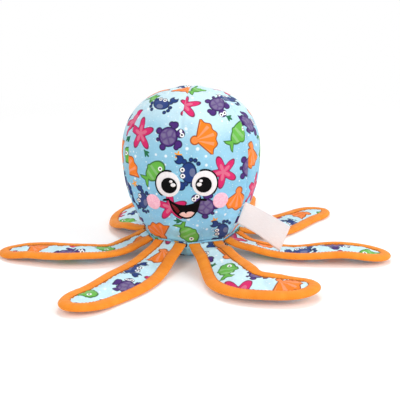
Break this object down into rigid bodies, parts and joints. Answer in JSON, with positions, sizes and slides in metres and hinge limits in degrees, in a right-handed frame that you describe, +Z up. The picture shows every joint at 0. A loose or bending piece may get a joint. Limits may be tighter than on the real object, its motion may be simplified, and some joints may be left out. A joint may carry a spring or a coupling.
{
  "type": "plush octopus",
  "caption": "Soft stuffed octopus toy: domed head with a sewn smiling face over a round base, and flat bound arms splayed out from the seam, each free to lift and droop.",
  "frame": {"origin": "centre of the flat middle of the base, where the toy sits on the floor", "axes": "+Z up through the crown of the head; the face looks along -Y; +X is on the viewer's right when facing the toy"},
  "size_m": [0.3868, 0.379, 0.1655],
  "materials": {
    "head_print": "short plush printed on light blue",
    "arm_print": "short plush printed on very pale blue",
    "binding_orange": "matt folded tape",
    "padding_white": "polyester wadding",
    "patch_white": "satin stitch",
    "patch_black": "satin stitch",
    "patch_dark_red": "satin stitch",
    "patch_pale_pink": "satin stitch",
    "patch_pink": "printed pile",
    "label_ribbon": "blank satin ribbon"
  },
  "bodies": {
    "head": {"head_front_panel": "head_print", "head_back_right_panel": "head_print", "head_back_left_panel": "head_print", "base_panel": "head_print", "stuffing": "padding_white", "seam_ring": "padding_white", "left_eye_white": "patch_white", "left_pupil": "patch_black", "left_eye_small_glint": "patch_white", "left_eye_large_glint": "patch_white", "left_eye_line": "patch_black", "left_cheek": "patch_pink", "right_eye_white": "patch_white", "right_pupil": "patch_black", "right_eye_small_glint": "patch_white", "right_eye_large_glint": "patch_white", "right_eye_line": "patch_black", "right_cheek": "patch_pink", "mouth": "patch_black", "mouth_red": "patch_dark_red", "tongue": "patch_pale_pink", "left_mouth_tick": "patch_black", "right_mouth_tick": "patch_black", "care_label": "label_ribbon"},
    "front_right_arm": {"front_right_arm_core": "padding_white", "front_right_arm_top_panel": "arm_print", "front_right_arm_underside": "head_print", "front_right_arm_binding": "binding_orange"},
    "right_arm": {"right_arm_core": "padding_white", "right_arm_top_panel": "arm_print", "right_arm_underside": "head_print", "right_arm_binding": "binding_orange"},
    "back_right_arm": {"back_right_arm_core": "padding_white", "back_right_arm_top_panel": "arm_print", "back_right_arm_underside": "head_print", "back_right_arm_binding": "binding_orange"},
    "rear_right_arm": {"rear_right_arm_core": "padding_white", "rear_right_arm_top_panel": "arm_print", "rear_right_arm_underside": "head_print", "rear_right_arm_binding": "binding_orange"},
    "rear_left_arm": {"rear_left_arm_core": "padding_white", "rear_left_arm_top_panel": "arm_print", "rear_left_arm_underside": "head_print", "rear_left_arm_binding": "binding_orange"},
    "back_left_arm": {"back_left_arm_core": "padding_white", "back_left_arm_top_panel": "arm_print", "back_left_arm_underside": "head_print", "back_left_arm_binding": "binding_orange"},
    "left_arm": {"left_arm_core": "padding_white", "left_arm_top_panel": "arm_print", "left_arm_underside": "head_print", "left_arm_binding": "binding_orange"},
    "front_left_arm": {"front_left_arm_core": "padding_white", "front_left_arm_top_panel": "arm_print", "front_left_arm_underside": "head_print", "front_left_arm_binding": "binding_orange"}
  },
  "joints": [
    {"name": "front_right_arm_lift", "type": "hinge", "parent": "head", "child": "front_right_arm", "pos_m": [0.01825, -0.04407, 0.017], "axis": [-0.9239, -0.3827, 0], "range_deg": [-60, 60]},
    {"name": "right_arm_lift", "type": "hinge", "parent": "head", "child": "right_arm", "pos_m": [0.04407, -0.01825, 0.017], "axis": [-0.3827, -0.9239, 0], "range_deg": [-60, 60], "deforming": ["care_label"]},
    {"name": "back_right_arm_lift", "type": "hinge", "parent": "head", "child": "back_right_arm", "pos_m": [0.04407, 0.01825, 0.017], "axis": [0.3827, -0.9239, 0], "range_deg": [-60, 60]},
    {"name": "rear_right_arm_lift", "type": "hinge", "parent": "head", "child": "rear_right_arm", "pos_m": [0.01825, 0.04407, 0.017], "axis": [0.9239, -0.3827, 0], "range_deg": [-12, 40]},
    {"name": "rear_left_arm_lift", "type": "hinge", "parent": "head", "child": "rear_left_arm", "pos_m": [-0.01825, 0.04407, 0.017], "axis": [0.9239, 0.3827, 0], "range_deg": [-30, 60]},
    {"name": "back_left_arm_lift", "type": "hinge", "parent": "head", "child": "back_left_arm", "pos_m": [-0.04407, 0.01825, 0.017], "axis": [0.3827, 0.9239, 0], "range_deg": [-30, 60]},
    {"name": "left_arm_lift", "type": "hinge", "parent": "head", "child": "left_arm", "pos_m": [-0.04407, -0.01825, 0.017], "axis": [-0.3827, 0.9239, 0], "range_deg": [-50, 60]},
    {"name": "front_left_arm_lift", "type": "hinge", "parent": "head", "child": "front_left_arm", "pos_m": [-0.01825, -0.04407, 0.017], "axis": [-0.9239, 0.3827, 0], "range_deg": [-55, 60]}
  ]
}
